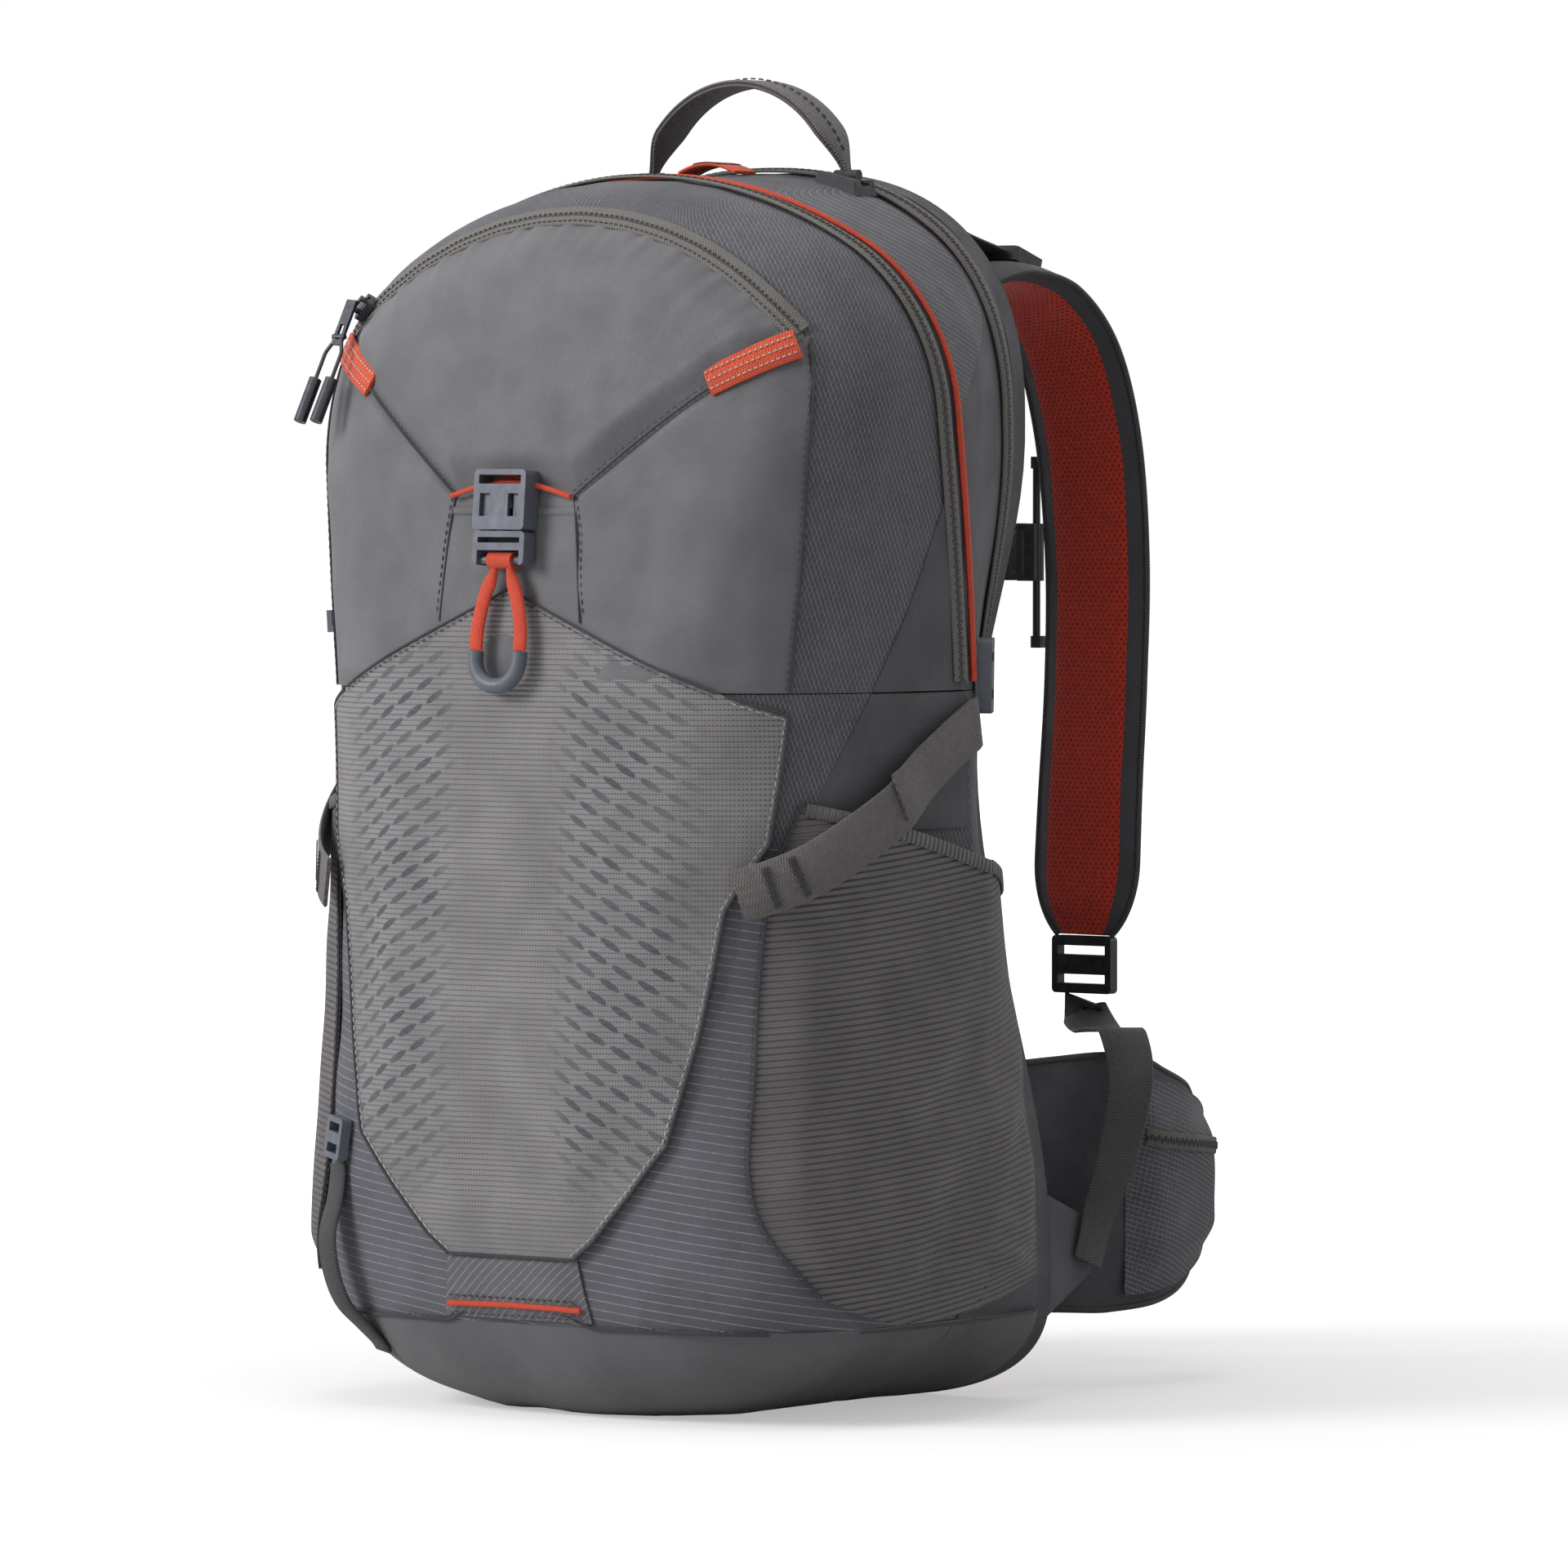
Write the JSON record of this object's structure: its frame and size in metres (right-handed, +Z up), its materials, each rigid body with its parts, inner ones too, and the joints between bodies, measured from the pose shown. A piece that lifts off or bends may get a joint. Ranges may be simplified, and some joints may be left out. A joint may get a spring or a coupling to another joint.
{
  "type": "daypack",
  "caption": "Panel-loading hiking daypack with a front stash pocket, side pockets, padded shoulder straps, a hip belt and a haul handle.",
  "frame": {"origin": "middle of the flat base, on the floor", "axes": "+Z up the pack, the front with its stash pocket faces -Y, the harness and back +Y, +X to the right seen from the front"},
  "size_m": [0.2886, 0.3766, 0.5373],
  "materials": {
    "lining": "plain woven lining, matte",
    "taffeta": "fine taffeta with a soft sheen",
    "striped_fabric": "dark fabric with fine light lines",
    "stretch_mesh": "ribbed stretch mesh, matte",
    "stretch_side": "ribbed stretch fabric, matte",
    "back_mesh": "open spacer mesh over foam",
    "orange_trim": "orange webbing and piping",
    "zip_tape": "grey-brown coil zip tape",
    "dark_webbing": "dark ribbed webbing",
    "buckle_plastic": "moulded blue-grey plastic",
    "strap_fabric": "tough woven fabric over foam",
    "strap_lining": "perforated red-orange spacer mesh",
    "slider_metal": "dark coated cast metal",
    "spring_wire": "spring steel wire",
    "frame_board": "thin polyethylene board"
  },
  "bodies": {
    "bag": {"main_compartment": "lining", "base_panel": "taffeta", "back_panel": "back_mesh", "stash_pocket": "stretch_mesh", "side_pocket_right": "stretch_side", "side_pocket_left": "stretch_side", "gear_patch": "striped_fabric", "lower_panel": "striped_fabric", "top_gusset": "striped_fabric", "main_zip_piping": "orange_trim", "rear_zip_tape": "zip_tape", "handle_feet": "dark_webbing", "top_label": "orange_trim", "compression_straps": "dark_webbing", "compression_buckles": "buckle_plastic", "tool_loop": "dark_webbing", "tool_loop_adjuster": "buckle_plastic", "lumbar_pad": "back_mesh", "harness_yoke": "strap_fabric", "load_lifters": "dark_webbing", "strap_gussets": "strap_fabric", "lower_webbing": "dark_webbing", "frame_wire": "spring_wire", "frame_sheet": "frame_board", "hydration_sleeve": "lining"},
    "front_panel": {"front_panel": "lining", "front_skin": "taffeta", "top_pocket": "taffeta", "stash_flap": "stretch_mesh", "main_zip_tape": "zip_tape", "top_pocket_zip": "zip_tape", "corner_tabs": "orange_trim", "front_buckle_female": "buckle_plastic", "clip_webbing": "orange_trim", "pole_keeper": "buckle_plastic"},
    "front_clip": {"front_buckle_male": "buckle_plastic"},
    "pull_loop": {"pull_loop": "orange_trim", "pull_tube": "buckle_plastic"},
    "main_zip_slider_upper": {"main_zip_slider_upper": "slider_metal"},
    "main_zip_slider_lower": {"main_zip_slider_lower": "slider_metal"},
    "rear_zip_slider": {"rear_zip_slider": "slider_metal"},
    "top_zip_slider": {"top_zip_slider": "slider_metal"},
    "top_zip_pull": {"top_zip_pull": "slider_metal"},
    "haul_handle": {"haul_handle": "dark_webbing"},
    "harness": {"shoulder_strap_right": "strap_lining", "shoulder_strap_left": "strap_lining", "ladder_locks": "buckle_plastic", "sternum_rails": "buckle_plastic"},
    "sternum_strap": {"sternum_clips": "buckle_plastic", "sternum_webbing": "dark_webbing", "sternum_buckle_female": "buckle_plastic"},
    "sternum_plug": {"sternum_buckle_male": "buckle_plastic"},
    "hip_wing_right": {"hip_wing_right": "strap_fabric", "hip_pocket_right": "striped_fabric", "hip_webbing_right": "dark_webbing", "hip_buckle_female": "buckle_plastic"},
    "hip_wing_left": {"hip_wing_left": "strap_fabric", "hip_pocket_left": "striped_fabric", "hip_webbing_left": "dark_webbing", "hip_buckle_male": "buckle_plastic"}
  },
  "joints": [
    {"name": "front_panel_open", "type": "hinge", "parent": "bag", "child": "front_panel", "pos_m": [0, -0.1005, 0.2905], "axis": [1, 0, 0], "range_deg": [0, 70]},
    {"name": "front_clip_release", "type": "slide", "parent": "front_panel", "child": "front_clip", "axis": [0, -0.0872, -0.9962], "range_m": [0, 0.017]},
    {"name": "pull_loop_swing", "type": "hinge", "parent": "front_clip", "child": "pull_loop", "pos_m": [0, -0.10429, 0.34266], "axis": [-1, 0, 0], "range_deg": [0, 75]},
    {"name": "main_zip_upper", "type": "slide", "parent": "bag", "child": "main_zip_slider_upper", "axis": [-0.0093, -0.1478, 0.989], "range_m": [0, 0.028]},
    {"name": "main_zip_lower", "type": "slide", "parent": "bag", "child": "main_zip_slider_lower", "axis": [0.0355, 0.1261, -0.9914], "range_m": [0, 0.026]},
    {"name": "rear_zip", "type": "slide", "parent": "bag", "child": "rear_zip_slider", "axis": [0.2038, 0.0323, -0.9785], "range_m": [0, 0.03]},
    {"name": "top_zip", "type": "hinge", "parent": "front_panel", "child": "top_zip_slider", "pos_m": [0, -0.0593, 0.31955], "axis": [0, 1, 0], "range_deg": [0, 80]},
    {"name": "top_pull_hang", "type": "hinge", "parent": "top_zip_slider", "child": "top_zip_pull", "pos_m": [-0.10718, -0.06644, 0.44648], "axis": [0, 1, 0], "range_deg": [-80, 0]},
    {"name": "haul_handle_flop", "type": "hinge", "parent": "bag", "child": "haul_handle", "pos_m": [0, 0.058, 0.49766], "axis": [1, 0, 0], "range_deg": [-45, 45]},
    {"name": "harness_lift", "type": "hinge", "parent": "bag", "child": "harness", "pos_m": [0, 0.1069, 0.44], "axis": [1, 0, 0], "range_deg": [0, 30], "deforming": ["load_lifters", "lower_webbing"]},
    {"name": "sternum_height", "type": "slide", "parent": "harness", "child": "sternum_strap", "axis": [0, 0, 1], "range_m": [-0.022, 0.022]},
    {"name": "sternum_release", "type": "slide", "parent": "sternum_strap", "child": "sternum_plug", "axis": [-1, 0, 0], "range_m": [0, 0.016], "deforming": ["sternum_webbing"]},
    {"name": "hip_wing_right_fold", "type": "hinge", "parent": "bag", "child": "hip_wing_right", "pos_m": [0.05, 0.1017, 0.084], "axis": [0, 0, 1], "range_deg": [0, 10]},
    {"name": "hip_wing_left_fold", "type": "hinge", "parent": "bag", "child": "hip_wing_left", "pos_m": [-0.05, 0.1017, 0.084], "axis": [0, 0, -1], "range_deg": [0, 10]}
  ],
  "couplings": [
    {"joint": "top_pull_hang", "follows": "top_zip", "ratio": -1}
  ]
}
